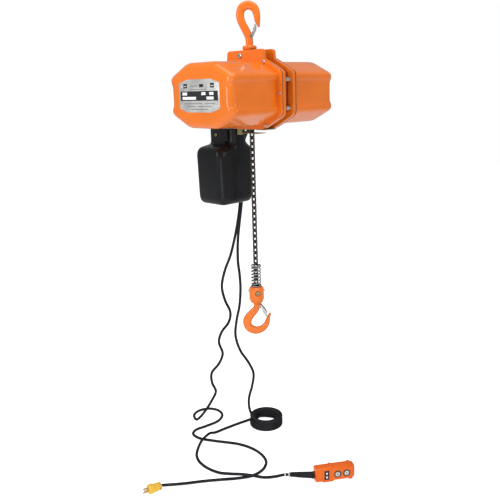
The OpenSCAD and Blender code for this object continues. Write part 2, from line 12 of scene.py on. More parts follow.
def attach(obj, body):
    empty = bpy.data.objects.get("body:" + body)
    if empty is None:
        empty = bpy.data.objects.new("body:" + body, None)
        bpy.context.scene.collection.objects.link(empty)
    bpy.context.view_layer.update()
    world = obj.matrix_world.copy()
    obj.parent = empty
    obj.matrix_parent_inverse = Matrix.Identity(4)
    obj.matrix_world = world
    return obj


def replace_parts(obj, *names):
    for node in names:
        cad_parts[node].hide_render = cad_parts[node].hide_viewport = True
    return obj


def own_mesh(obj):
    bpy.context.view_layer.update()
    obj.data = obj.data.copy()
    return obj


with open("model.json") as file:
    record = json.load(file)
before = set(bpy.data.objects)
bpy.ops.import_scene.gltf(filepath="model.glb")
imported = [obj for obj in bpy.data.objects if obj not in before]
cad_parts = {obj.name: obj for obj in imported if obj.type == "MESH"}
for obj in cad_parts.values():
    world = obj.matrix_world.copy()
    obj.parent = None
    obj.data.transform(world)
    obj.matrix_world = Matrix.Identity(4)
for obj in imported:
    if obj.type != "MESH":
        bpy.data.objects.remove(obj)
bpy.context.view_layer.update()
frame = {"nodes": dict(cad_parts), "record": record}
MM = 0.001
nodes = frame["nodes"]

# Places and sizes that the CAD shares, in millimetres, and turns in radians
BODY_Y, BODY_Z = -10, -277
COVER_W, COVER_H = 308, 210
PLATE_W, PLATE_H = 340, 236
FLANGE = 4
FRONT_X, FRONT_END = -32, -245
REAR_X, REAR_END = 34, 256
EAR_Y, EAR_Z = 16, -149
BLOCK_TOP, BLOCK_LOW = -977, -1042
FLOOR_Z = -1650
LIE_Z = FLOOR_Z + 5.7
CORD_D = 11
VIEW_TURN = math.radians(-45)
PEND_AT = Vector((-44, -320, FLOOR_Z))
PEND_TURN = math.radians(-34)
PLUG_AT = Vector((-445, 66, -1632))
PLUG_TURN = math.radians(165)


# ---------------------------------------------------------------- camera, floor and lights
CAM_AT = Vector((-1.627, -1.640, -0.259))
CAM_FORWARD = Vector((0.6775, 0.6947, -0.2427)).normalized()
CAM_ROLL = math.radians(-1.77)


def make_camera():
    data = bpy.data.cameras.new("camera")
    data.lens = 46.44
    data.sensor_width = 36
    data.clip_end = 50
    camera = bpy.data.objects.new("camera", data)
    bpy.context.scene.collection.objects.link(camera)
    level = CAM_FORWARD.cross(Vector((0, 0, 1))).normalized()
    upright = level.cross(CAM_FORWARD)
    right = level * math.cos(CAM_ROLL) + upright * math.sin(CAM_ROLL)
    up = right.cross(CAM_FORWARD)
    turn = Matrix((right, up, -CAM_FORWARD)).transposed()
    camera.matrix_world = Matrix.Translation(CAM_AT) @ turn.to_4x4()
    bpy.context.scene.camera = camera


def area_light(name, at, aim, size, power):
    data = bpy.data.lights.new(name, "AREA")
    data.shape = "RECTANGLE"
    data.size, data.size_y = size
    data.energy = power
    light = bpy.data.objects.new(name, data)
    bpy.context.scene.collection.objects.link(light)
    light.location = at
    light.rotation_euler = (Vector(aim) - Vector(at)).to_track_quat("-Z", "Y").to_euler()


def make_lights():
    body = (0, 0, -0.27)
    area_light("overhead_softbox", (-0.5, -0.5, 1.7), body, (2.2, 2.2), 36)
    area_light("left_softbox", (-2.6, 0.3, 0.3), (0, 0, -0.6), (0.9, 1.6), 27)
    area_light("right_softbox", (0.9, -2.7, 0.5), (0, 0, -0.5), (0.7, 1.6), 11)
    area_light("low_fill", (-1.6, -1.8, -1.0), (0, 0, -1.2), (1.4, 0.8), 8)
    world = bpy.data.worlds.new("studio")
    world.use_nodes = True
    tree = world.node_tree
    backdrop = tree.nodes["Background"]
    backdrop.inputs["Color"].default_value = (1, 1, 1, 1)
    backdrop.inputs["Strength"].default_value = 1.0
    room = tree.nodes.new("ShaderNodeBackground")
    room.inputs["Color"].default_value = (0.97, 0.98, 1, 1)
    room.inputs["Strength"].default_value = 0.38
    rays = tree.nodes.new("ShaderNodeLightPath")
    mix = tree.nodes.new("ShaderNodeMixShader")
    tree.links.new(rays.outputs["Is Camera Ray"], mix.inputs["Fac"])
    tree.links.new(room.outputs["Background"], mix.inputs[1])
    tree.links.new(backdrop.outputs["Background"], mix.inputs[2])
    tree.links.new(mix.outputs["Shader"], tree.nodes["World Output"].inputs["Surface"])
    bpy.context.scene.world = world
    bpy.context.scene.view_settings.view_transform = "Standard"


# ---------------------------------------------------------------- materials
def new_material(name, colour, rough, metal=0.0, coat=0.0):
    material = bpy.data.materials.new(name)
    material.use_nodes = True
    shader = material.node_tree.nodes["Principled BSDF"]
    shader.inputs["Base Color"].default_value = (*colour, 1)
    shader.inputs["Roughness"].default_value = rough
    shader.inputs["Metallic"].default_value = metal
    shader.inputs["Coat Weight"].default_value = coat
    shader.inputs["Coat Roughness"].default_value = 0.06
    return material, material.node_tree, shader


def noise(tree, scale, detail=4, stretch=(1, 1, 1)):
    where = tree.nodes.new("ShaderNodeTexCoord")
    mapping = tree.nodes.new("ShaderNodeMapping")
    mapping.inputs["Scale"].default_value = stretch
    grain = tree.nodes.new("ShaderNodeTexNoise")
    grain.inputs["Scale"].default_value = scale
    grain.inputs["Detail"].default_value = detail
    tree.links.new(where.outputs["Object"], mapping.inputs["Vector"])
    tree.links.new(mapping.outputs["Vector"], grain.inputs["Vector"])
    return grain.outputs["Fac"]


def vary(tree, shader, fac, socket, low, high):
    """A grain drives a shader socket, between two colours or two numbers."""
    if isinstance(low, tuple):
        ramp = tree.nodes.new("ShaderNodeValToRGB")
        ramp.color_ramp.elements[0].position = 0.35
        ramp.color_ramp.elements[1].position = 0.65
        ramp.color_ramp.elements[0].color = (*low, 1)
        ramp.color_ramp.elements[1].color = (*high, 1)
        tree.links.new(fac, ramp.inputs["Fac"])
        tree.links.new(ramp.outputs["Color"], shader.inputs[socket])
        return
    span = tree.nodes.new("ShaderNodeMapRange")
    span.inputs["To Min"].default_value = low
    span.inputs["To Max"].default_value = high
    tree.links.new(fac, span.inputs["Value"])
    tree.links.new(span.outputs["Result"], shader.inputs[socket])


def relief(tree, shader, fac, strength, depth):
    bump = tree.nodes.new("ShaderNodeBump")
    bump.inputs["Strength"].default_value = strength
    bump.inputs["Distance"].default_value = depth
    tree.links.new(fac, bump.inputs["Height"])
    tree.links.new(bump.outputs["Normal"], shader.inputs["Normal"])


def enamel(name, colour, rough=0.2, coat=0.45):
    """Sprayed gloss enamel: slight colour drift, orange-peel relief and a clear coat."""
    material, tree, shader = new_material(name, colour, rough, coat=coat)
    shader.inputs["Specular IOR Level"].default_value = 0.3
    darker = tuple(0.90 * c for c in colour)
    vary(tree, shader, noise(tree, 9), "Base Color", darker, colour)
    vary(tree, shader, noise(tree, 45), "Roughness", rough - 0.04, rough + 0.08)
    relief(tree, shader, noise(tree, 320, 2), 0.12, 0.0003)
    return material


def metal(name, colour, rough, stretch=(1, 1, 1), metalness=1.0):
    """Plated or machined metal with streaked roughness and cloudy colour."""
    spread = 0.10
    material, tree, shader = new_material(name, colour, rough, metal=metalness)
    duller = tuple(0.72 * c for c in colour)
    vary(tree, shader, noise(tree, 28, 6), "Base Color", duller, colour)
    vary(tree, shader, noise(tree, 160, 4, stretch), "Roughness", rough - spread / 2, rough + spread)
    relief(tree, shader, noise(tree, 420, 3, stretch), 0.10, 0.0002)
    return material


def moulded(name, colour, rough, grain=520, strength=0.15, sheen=0.35):
    """Moulded plastic or rubber with a fine eroded grain."""
    material, tree, shader = new_material(name, colour, rough)
    shader.inputs["Specular IOR Level"].default_value = sheen
    lighter = tuple(min(1, 1.25 * c + 0.004) for c in colour)
    vary(tree, shader, noise(tree, 14, 5), "Base Color", colour, lighter)
    vary(tree, shader, noise(tree, 70), "Roughness", rough - 0.05, rough + 0.08)
    relief(tree, shader, noise(tree, grain, 2), strength, 0.0003)
    return material


def make_materials():
    orange = (0.93, 0.205, 0.014)
    return {
        "orange_paint": enamel("orange_paint", orange),
        # oxide_paint: a dark red paint that also carries painted shade; it is darkened so the housing between
        # the frame plates reads as the shaded gap
        "oxide_paint": enamel("oxide_paint", (0.33, 0.045, 0.012), 0.38),
        "gasket_rubber": moulded("gasket_rubber", (0.03, 0.03, 0.032), 0.6),
        "zinc_steel": metal("zinc_steel", (0.74, 0.75, 0.72), 0.26),
        "yellow_zinc": metal("yellow_zinc", (0.52, 0.44, 0.23), 0.36),
        "plate_metal": metal("plate_metal", (0.70, 0.70, 0.67), 0.42, (1, 1, 14), 0.5),
        "cast_iron": metal("cast_iron", (0.20, 0.20, 0.21), 0.48),
        "cast_aluminium": metal("cast_aluminium", (0.60, 0.61, 0.62), 0.45),
        "copper_winding": enamel("copper_winding", (0.40, 0.13, 0.04), 0.35),
        "black_plastic": moulded("black_plastic", (0.005, 0.0055, 0.007), 0.30, 520, 0.12, 0.26),
        "ivory_plastic": moulded("ivory_plastic", (0.72, 0.69, 0.60), 0.4),
        "spring_steel": metal("spring_steel", (0.42, 0.42, 0.40), 0.34),
        "core_steel": metal("core_steel", (0.25, 0.26, 0.28), 0.5, (30, 1, 1)),
        "chain_steel": metal("chain_steel", (0.11, 0.105, 0.095), 0.36),
        "cord_rubber": moulded("cord_rubber", (0.022, 0.023, 0.026), 0.6, 300, 0.02, 0.02),
        "yellow_plastic": moulded("yellow_plastic", (0.83, 0.50, 0.055), 0.35),
        "blade_brass": metal("blade_brass", (0.62, 0.42, 0.18), 0.3),
        "pendant_orange": enamel("pendant_orange", (0.96, 0.165, 0.008), 0.36, 0.15),
        "bezel_chrome": metal("bezel_chrome", (0.10, 0.10, 0.10), 0.22),
        "button_white": moulded("button_white", (0.56, 0.56, 0.54), 0.25, 300, 0.05),
        "label_black": moulded("label_black", (0.015, 0.015, 0.016), 0.4, 800, 0.05),
        "label_white": moulded("label_white", (0.82, 0.83, 0.82), 0.45, 800, 0.05),
        "label_grey": moulded("label_grey", (0.20, 0.21, 0.21), 0.5, 800, 0.05),
        "button_centre": moulded("button_centre", (0.16, 0.07, 0.03), 0.4, 300, 0.05),
    }


MATERIALS = make_materials()


# ---------------------------------------------------------------- mesh helpers
def link_mesh(name, verts, faces, body, material, smooth=35):
    """A mesh in the scene, riding its body; its one slot holds the named material."""
    mesh = bpy.data.meshes.new(name)
    mesh.from_pydata([Vector(v) * MM for v in verts], [], faces)
    bm = bmesh.new()
    bm.from_mesh(mesh)
    bmesh.ops.recalc_face_normals(bm, faces=bm.faces)
    bm.to_mesh(mesh)
    bm.free()
    obj = bpy.data.objects.new(name, mesh)
    bpy.context.scene.collection.objects.link(obj)
    mesh.materials.append(MATERIALS[material])
    shade(mesh, smooth)
    if body:
        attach(obj, body)
    return obj


def shade(mesh, angle):
    mesh.polygons.foreach_set("use_smooth", [True] * len(mesh.polygons))
    mesh.set_sharp_from_angle(angle=math.radians(angle))


def bevel(obj, width, angle=32):
    modifier = obj.modifiers.new("edges", "BEVEL")
    modifier.width = width * MM
    modifier.segments = 3
    modifier.limit_method = "ANGLE"
    modifier.angle_limit = math.radians(angle)


def skin(name, rings, body, material, caps=True, smooth=35):
    """A surface through closed rings of points, each ring the same count."""
    count = len(rings[0])
    verts = [p for ring in rings for p in ring]
    faces = []
    for i in range(len(rings) - 1):
        for k in range(count):
            n = (k + 1) % count
            faces.append((i * count + k, i * count + n, (i + 1) * count + n, (i + 1) * count + k))
    if caps:
        faces.append(tuple(range(count)))
        faces.append(tuple(len(verts) - count + k for k in range(count)))
    return link_mesh(name, verts, faces, body, material, smooth=smooth)


def circle(count):
    """Points of a circle of radius 1."""
    return [(math.cos(2 * math.pi * k / count), math.sin(2 * math.pi * k / count)) for k in range(count)]


def lathe(name, profile, origin, axis, body, material, sides=40, smooth=35):
    """A turned piece: profile is (distance along the axis, radius)."""
    z = Vector(axis).normalized()
    x = z.orthogonal().normalized()
    y = z.cross(x)
    rings = []
    for along, radius in profile:
        centre = Vector(origin) + z * along
        rings.append([centre + x * c * radius + y * s * radius for c, s in circle(sides)])
    return skin(name, rings, body, material, smooth=smooth)


def bar(name, low, high, body, material, turn=None, at=None, edge=0.6):
    """A block with softened edges between two corners, as the part stands or turned about a place."""
    corners = [(x, y, z) for x in (low[0], high[0]) for y in (low[1], high[1]) for z in (low[2], high[2])]
    if turn is not None:
        corners = [turn @ Vector(c) + Vector(at) for c in corners]
    faces = [(0, 1, 3, 2), (4, 6, 7, 5), (0, 4, 5, 1), (2, 3, 7, 6), (0, 2, 6, 4), (1, 5, 7, 3)]
    obj = link_mesh(name, corners, faces, body, material)
    if edge:
        bevel(obj, edge)
    return obj


def catmull(points, steps):
    """A smooth curve through points, the same rule as the CAD routes."""
    out = []
    last = len(points) - 1
    for i in range(last):
        a, b = points[max(i - 1, 0)], points[i]
        c, d = points[i + 1], points[min(i + 2, last)]
        for k in range(steps):
            t = k / steps
            out.append(0.5 * (2 * b + (c - a) * t + (2 * a - 5 * b + 4 * c - d) * t * t
                              + (3 * b - a - 3 * c + d) * t ** 3))
    out.append(points[last])
    return out


def vectors(points):
    return [Vector(p) for p in points]


# ---------------------------------------------------------------- cords
POWER_ROUTE = vectors([
    (108, 117, -387), (108, 130, -411), (106, 147, -440), (102, 157, -480), (98, 162, -560),
    (95, 165, -640), (90, 170, -700), (82, 178, -770), (70, 188, -840), (56, 200, -905), (38, 216, -965),
    (28, 226, -1030), (36, 219, -1090), (50, 206, -1140), (44, 212, -1185), (22, 232, -1225),
    (12, 241, -1270), (22, 232, -1320), (10, 244, -1365), (-14, 265, -1405), (-14, 266, -1450),
    (-4, 256, -1490), (-18, 268, -1530), (-36, 285, -1570), (-48, 312, -1610), (-42, 350, -1640),
    (-18, 394, LIE_Z), (25, 408, LIE_Z), (66, 388, LIE_Z), (82, 345, LIE_Z), (64, 300, LIE_Z),
    (15, 276, LIE_Z), (-45, 282, LIE_Z), (-95, 290, LIE_Z), (-126, 270, LIE_Z), (-128, 225, LIE_Z),
    (-108, 180, LIE_Z), (-80, 130, LIE_Z), (-52, 78, LIE_Z), (-38, 20, LIE_Z), (-42, -40, LIE_Z),
    (-66, -92, LIE_Z), (-112, -120, LIE_Z), (-165, -120, LIE_Z), (-215, -92, LIE_Z), (-260, -55, LIE_Z),
    (-310, -15, LIE_Z), (-366, 25, LIE_Z), (-410, 52, -1640), (-445, 66, -1632)])
UPPER_ROUTE = vectors([
    (84, 117, -387), (84, 130, -411), (85, 145, -440), (87, 150, -480), (88, 151, -560),
    (88, 152, -640), (85, 156, -700), (78, 163, -770), (72, 169, -840), (70, 171, -920),
    (74, 168, -980), (75, 167, -1040), (70, 171, -1110), (60, 181, -1175), (56, 186, -1240),
    (68, 174, -1305), (92, 152, -1360), (106, 139, -1410), (100, 143, -1465), (88, 152, -1520),
    (86, 150, -1565), (87, 137, -1592)])
LOWER_ROUTE = vectors([
    (118, 184, LIE_Z), (60, 196, LIE_Z), (0, 206, LIE_Z),
    (-55, 212, -1643), (-85, 210, -1633), (-115, 203, -1632), (-150, 190, -1634), (-190, 166, -1643),
    (-222, 134, LIE_Z), (-242, 92, LIE_Z), (-248, 40, LIE_Z), (-240, -15, -1643), (-222, -62, -1636),
    (-201, -98, -1632), (-178, -130, -1634), (-150, -162, -1641), (-124, -192, -1637),
    (-104, -216, -1629), (-88, -237, -1626)])
COIL_AT = Vector((150, 115, FLOOR_Z))
COIL_RADII = (53.4, 64.6)
COIL_TURNS = 8
COIL_STEPS = 28
COIL_PITCH = 10.7
COIL_FIRST, COIL_LAST = math.radians(190), math.radians(76.8)


def coil_points():
    """Turns wound from the top layer down, in and out by turns, leaving from the lowest outer one."""
    sweep = 2 * math.pi * COIL_TURNS + COIL_LAST - COIL_FIRST
    total = round(COIL_STEPS * sweep / (2 * math.pi))
    blend_share = 0.16
    points = []
    for i in range(total + 1):
        angle = COIL_FIRST + sweep * i / total
        turn = min((angle - COIL_FIRST) / sweep * COIL_TURNS, COIL_TURNS - 1e-6)
        now = int(turn)
        after = min(now + 1, COIL_TURNS - 1)
        t = max(0.0, (turn - now - 1 + blend_share) / blend_share)
        t = t * t * (3 - 2 * t)
        radius, height = [], []
        for k in (now, after):
            layer = COIL_TURNS // 2 - 1 - k // 2
            outer = (1 + k % 2 + k // 2) % 2
            radius.append(COIL_RADII[outer])
            height.append(CORD_D / 2 + layer * COIL_PITCH)
        r = radius[0] * (1 - t) + radius[1] * t
        z = height[0] * (1 - t) + height[1] * t
        points.append(COIL_AT + Vector((r * math.cos(angle), r * math.sin(angle), z)))
    return points


def cord_curve(name, points):
    data = bpy.data.curves.new(name, "CURVE")
    data.dimensions = "3D"
    data.bevel_depth = CORD_D / 2 * MM
    data.bevel_resolution = 4
    data.use_fill_caps = True
    spline = data.splines.new("POLY")
    spline.points.add(len(points) - 1)
    for knot, p in zip(spline.points, points):
        knot.co = (*(p * MM), 1)
    spline.use_smooth = True
    obj = bpy.data.objects.new(name, data)
    bpy.context.scene.collection.objects.link(obj)
    data.materials.append(MATERIALS["cord_rubber"])
    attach(obj, "hoist")
    return obj


power_points = catmull(POWER_ROUTE, 6)
coil_route = [UPPER_ROUTE[-1]] + coil_points() + [LOWER_ROUTE[0]]
pendant_points = catmull(UPPER_ROUTE, 6)[:-1] + catmull(coil_route, 2)[:-1] + catmull(LOWER_ROUTE, 6)
power_cord = cord_curve("mains_cord", power_points)
pendant_cord = cord_curve("control_cord", pendant_points)
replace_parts(power_cord, "power_cord")
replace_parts(pendant_cord, "pendant_cord_upper", "pendant_cord_coil", "pendant_cord_lower")


# ---------------------------------------------------------------- outlines shared by the housing
def mirrored(half):
    return half + [(-y, z) for y, z in reversed(half)]


def rounded(points, radii, steps):
    """Corners eased by short curves, limited so that neighbours never meet; radii is one or one each."""
    out = []
    count = len(points)
    if not isinstance(radii, list):
        radii = [radii] * count
    for i in range(count):
        p = Vector(points[i])
        before = Vector(points[i - 1]) - p
        after = Vector(points[(i + 1) % count]) - p
        u = before.normalized() * min(radii[i], before.length * 0.45)
        w = after.normalized() * min(radii[i], after.length * 0.45)
        for k in range(steps + 1):
            t = k / steps
            out.append(p + u * (1 - t) ** 2 + w * t ** 2)
    return out


def cover_outline(inset):
    w, h = COVER_W / 2 - inset, COVER_H / 2 - inset
    return mirrored([(w * 0.45, h), (w, h * 0.6), (w, h * 0.43), (w - 7, h * 0.35), (w - 7, -h * 0.35),
                     (w, -h * 0.43), (w, -h * 0.6), (w * 0.45, -h)])


def plate_outline():
    w, h = PLATE_W / 2, PLATE_H / 2
    return mirrored([(w * 0.45, h), (w, h * 0.6), (w, -h * 0.6), (w * 0.45, -h)])


def cover_piece(name, x_open, x_end):
    """A moulded cover: shell with a big radius round its end face, open inside at its flange."""
    toward = 1 if x_end > x_open else -1
    radius = 24
    wall = 4
    inner_radius = radius - wall
    corner, inner_corner = 18, 14
    stations, arc_steps, inner_steps = 6, 8, 4

    def ring(x, inset, ease):
        return [(x, BODY_Y + y, BODY_Z + z) for y, z in rounded(cover_outline(inset), ease, 6)]

    rim = ring(x_open, wall, inner_corner)
    outer = [rim]
    for k in range(stations):
        outer.append(ring(x_open + (x_end - toward * radius - x_open) * k / stations, 0, corner))
    for k in range(arc_steps + 1):
        angle = math.pi / 2 * k / arc_steps
        x = x_end - toward * radius * (1 - math.sin(angle))
        outer.append(ring(x, radius * (1 - math.cos(angle)), corner))
    inner = []
    for k in range(inner_steps + 1):
        angle = math.pi / 2 * (1 - k / inner_steps)
        x = x_end - toward * wall - toward * inner_radius * (1 - math.sin(angle))
        inner.append(ring(x, wall + inner_radius * (1 - math.cos(angle)), inner_corner))
    body = skin(name, outer, "hoist", "orange_paint", caps=False, smooth=28)
    inside = skin(name + "_inside", inner + [rim], "hoist", "orange_paint", caps=False)
    cap_ring(body, outer[-1])
    cap_ring(inside, inner[0])
    return body


def cap_ring(obj, ring_points):
    """Closes a skin over one of its rings."""
    bm = bmesh.new()
    bm.from_mesh(obj.data)
    wanted = [Vector(p) * MM for p in ring_points]
    found = []
    for p in wanted:
        near = min(bm.verts, key=lambda v: (v.co - p).length)
        if near not in found:
            found.append(near)
    bm.faces.new(found)
    bmesh.ops.recalc_face_normals(bm, faces=bm.faces)
    bm.to_mesh(obj.data)
    bm.free()
    shade(obj.data, 28)


def make_covers():
    front = cover_piece("front_cover_shell", FRONT_X, FRONT_END)
    rear = cover_piece("rear_cover_shell", REAR_X, REAR_END)
    flange_ring("front_cover_flange", FRONT_X - FLANGE, FRONT_X)
    flange_ring("rear_cover_flange", REAR_X, REAR_X + FLANGE)
    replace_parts(front, "front_cover")
    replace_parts(rear, "rear_cover")


def flange_ring(name, x_low, x_high):
    """A flat frame between the plate outline and the cover wall, eased on its outer rim."""
    edge = 1.2
    shrink = 0.008
    corner = 14
    count = 96
    outer = resample(rounded(plate_outline(), corner, 6), count)
    inner = resample(rounded(cover_outline(2), corner, 6), count)

    def ring(x, points, pull=0.0):
        return [(x, BODY_Y + y * (1 - pull), BODY_Z + z * (1 - pull)) for y, z in points]

    rings = [ring(x_low, inner), ring(x_low, outer, shrink), ring(x_low + edge, outer),
             ring(x_high - edge, outer), ring(x_high, outer, shrink), ring(x_high, inner)]
    rings.append(rings[0])
    skin(name, rings, "hoist", "orange_paint", caps=False)


def resample(points, count):
    """The same number of points on any closed outline, by angle from the middle."""
    out = []
    for k in range(count):
        angle = 2 * math.pi * k / count
        d = Vector((math.cos(angle), math.sin(angle)))
        best = None
        for i in range(len(points)):
            a, b = Vector(points[i]), Vector(points[(i + 1) % len(points)])
            e = b - a
            den = d.x * e.y - d.y * e.x
            if abs(den) < 1e-9:
                continue
            t = (a.x * e.y - a.y * e.x) / den
            s = (a.x * d.y - a.y * d.x) / den
            if t > 0 and -1e-6 <= s <= 1 + 1e-6 and (best is None or t > best):
                best = t
        out.append((d.x * best, d.y * best))
    return out


# ---------------------------------------------------------------- screws
def socket_screw(name, at, axis, radius, height, body, material):
    """A round head with an eased rim and a hexagon socket sunk in it."""
    z = Vector(axis).normalized()
    x = z.orthogonal().normalized()
    y = z.cross(x)
    count = 24
    hexagon = []
    for k in range(count):
        angle = 2 * math.pi * k / count
        reach = math.cos(math.pi / 6) / math.cos((angle + math.pi / 6) % (math.pi / 3) - math.pi / 6)
        hexagon.append((math.cos(angle) * reach, math.sin(angle) * reach))
    stations = [(0, radius, False), (height * 0.75, radius, False), (height * 0.93, radius * 0.95, False),
                (height, radius * 0.84, False), (height, radius * 0.52, True),
                (height * 0.35, radius * 0.50, True)]
    rings = []
    for along, r, is_hex in stations:
        shape = hexagon if is_hex else circle(count)
        rings.append([Vector(at) + z * along + x * c * r + y * s * r for c, s in shape])
    return skin(name, rings, body, material)


SCREW_PLACES = [(-92, 103), (-160, 0), (-92, -103), (92, 103), (160, 0), (92, -103)]


def make_screws():
    made = []
    for i, (y, z) in enumerate(SCREW_PLACES):
        for x, way, side in ((FRONT_X - FLANGE, -1, "front"), (REAR_X + FLANGE, 1, "rear")):
            made.append(socket_screw(f"{side}_screw_{i}", (x, BODY_Y + y, BODY_Z + z), (way, 0, 0),
                                     5, 4, "hoist", "zinc_steel"))
    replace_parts(made[0], "cover_screws")


# ---------------------------------------------------------------- nameplate
def make_nameplate():
    half_w, half_h = 99, 52
    thick = 1.0
    outline = rounded(mirrored([(60, half_h), (half_w, 40), (half_w, -40), (60, -half_h)]), 4, 4)
    rings = []
    for depth, pull in ((0, 0), (0.7, 0), (thick, 0.6)):
        rings.append([(FRONT_END - depth, BODY_Y + y * (1 - pull / half_w), BODY_Z + z * (1 - pull / half_h))
                      for y, z in outline])
    plate = skin("rating_plate", rings, "hoist", "plate_metal")
    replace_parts(plate, "nameplate")
    face = FRONT_END - thick

    def printed(name, y_low, y_high, z_low, z_high, material, lift):
        bar(name, (face - lift, BODY_Y + y_low, BODY_Z + z_low),
            (face + 0.2, BODY_Y + y_high, BODY_Z + z_high), "hoist", material, edge=0)

    printed("plate_band", -92, 92, -15, 15, "label_black", 0.15)
    for i, (low, high) in enumerate(((-72, -52), (-34, -14), (58, 82))):
        printed(f"plate_top_box_{i}", low, high, 2.5, 11.5, "label_white", 0.3)
    for i, (low, high) in enumerate(((-72, -38), (14, 82))):
        printed(f"plate_low_box_{i}", low, high, -11.5, -2.5, "label_white", 0.3)
    for i, y in enumerate((-66, 66)):
        printed(f"plate_mark_{i}", y - 9, y + 9, 25, 39, "label_black", 0.15)
        printed(f"plate_mark_bar_{i}", y - 5, y + 5, 30, 32, "label_white", 0.3)
    printed("plate_heading", -24, -4, 27, 37, "label_black", 0.15)
    for i, (low, high, z) in enumerate(((-40, 40, 20), (4, 36, 31),
                                        (-78, -30, -24), (-16, 74, -24), (-60, 6, -33), (20, 58, -33),
                                        (-44, 44, -42))):
        printed(f"plate_line_{i}", low, high, z - 1.3, z + 1.3, "label_grey", 0.12)
    rivet = [(0, 3), (0.6, 2.9), (1.2, 2.0), (1.4, 0.6)]
    for i, y in enumerate((-86, 86)):
        for row, z in (("", 30), ("low_", -30)):
            lathe(f"plate_rivet_{row}{i}", rivet, (face, BODY_Y + y, BODY_Z + z), (-1, 0, 0),
                  "hoist", "zinc_steel", sides=16)


# ---------------------------------------------------------------- hooks
def forged(name, stations, depth_at, body, base_z):
    """A forging swept along stations (x, z, half width) in the hook's plane, for its body's own node."""
    line = catmull([Vector((x, 0, z)) for x, z, r in stations], 7)
    widths = catmull([Vector((r, 0, 0)) for x, z, r in stations], 7)
    turn = Matrix.Rotation(VIEW_TURN, 3, "Z")
    squareness = 0.72
    thinnest = 0.6
    count = 28
    rings = []
    for i, centre in enumerate(line):
        ahead = (line[min(i + 1, len(line) - 1)] - line[max(i - 1, 0)]).normalized()
        side = Vector((ahead.z, 0, -ahead.x))
        r = max(widths[i].x, thinnest)
        depth = depth_at(i / (len(line) - 1))
        ring = []
        for k in range(count):
            angle = 2 * math.pi * k / count
            c, s = math.cos(angle), math.sin(angle)
            across = math.copysign(abs(c) ** squareness, c) * r
            out = math.copysign(abs(s) ** squareness, s) * depth
            ring.append(turn @ (centre + side * across + Vector((0, out, 0))) + Vector((0, 0, base_z)))
        rings.append(ring)
    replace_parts(skin(name, rings, body, "orange_paint", smooth=60), body)


TOP_STATIONS = [(0, -116, 12.6), (0, -98, 12.8), (-3, -84, 13.2), (-9.5, -69, 13.4), (-19, -51, 13),
                (-27, -31, 13.6), (-28.7, -12, 13.9), (-21, 6, 14.6), (-1.5, 14.5, 14.4), (18.6, 5.8, 13.6),
                (27, -13.5, 12), (29.3, -34, 9.8), (32, -48, 6), (35, -57, 2.4)]
LOW_STATIONS = [(0, -1, 12.4), (-1, -18, 12), (-11, -33, 13.5), (-26, -49, 15), (-37, -67, 16.5),
                (-38, -83, 16), (-29, -100, 15.5), (-9, -109.5, 14.6), (10, -107, 13), (22, -100.5, 12),
                (33, -88, 10.5), (39, -73, 9), (43.5, -58, 6.5), (50, -42, 3.6)]
TOP_PIVOT, LOW_PIVOT = (6, -86), (12, BLOCK_LOW - 12)


def hook_point(x, z, y=0.0):
    """A place in the hook's own plane."""
    return Matrix.Rotation(VIEW_TURN, 3, "Z") @ Vector((x, y, z))


def sheet_latch(name, pivot, angle, length, body, outward):
    """A pressed latch: a tongue folded along both sides into walls that face the hook's mouth."""
    turn = Matrix.Rotation(VIEW_TURN, 3, "Z") @ Matrix.Rotation(-angle, 3, "Y")
    at = hook_point(*pivot)
    thick = 1.4
    rows = [(length * 0.28, 13.4, 8.5), (length * 0.42, 13.2, 10.0), (length * 0.60, 12.4, 10.5),
            (length * 0.76, 11.4, 9.5), (length * 0.90, 10.6, 6.0), (length - 0.5, 10.0, 2.4)]
    rings = []
    for x, half, wall in rows:
        section = [(-half, wall), (-half, -0.4), (-half + 1.2, -1.6), (half - 1.2, -1.6), (half, -0.4),
                   (half, wall), (half - thick, wall), (half - thick, 0.2), (half - thick - 0.8, -0.2),
                   (-half + thick + 0.8, -0.2), (-half + thick, 0.2), (-half + thick, wall)]
        rings.append([turn @ Vector((x, y, z * outward)) + at for y, z in section])
    strip = skin(name, rings, body, "zinc_steel", smooth=50)
    cheek_y = 13.1
    outline = rounded([(-6, -4.5 * outward), (length * 0.36, -0.4 * outward),
                       (length * 0.36, 9.2 * outward), (-4, 6.5 * outward)], 5, 4)
    for side, word in ((-1, "left"), (1, "right")):
        pair = [[turn @ Vector((x, side * (cheek_y + t), z)) + at for x, z in outline] for t in (0, thick)]
        skin(f"{name}_cheek_{word}", pair, body, "zinc_steel")
    headed_half = [(14.5, 2.4), (14.6, 3.4), (15.2, 3.2), (15.6, 1.6)]
    pin = [(-along, radius) for along, radius in reversed(headed_half)] + headed_half
    lathe(name + "_pin", pin, at, turn @ Vector((0, 1, 0)), body, "cast_iron", sides=20)
    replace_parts(strip, body)


def thinned(tip_start, thinner):
    """Half depth of a hook along its length, which thins toward the tip."""
    half_depth = 12

    def depth_at(t):
        return half_depth if t < tip_start else half_depth - thinner * (t - tip_start) / (1 - tip_start)

    return depth_at


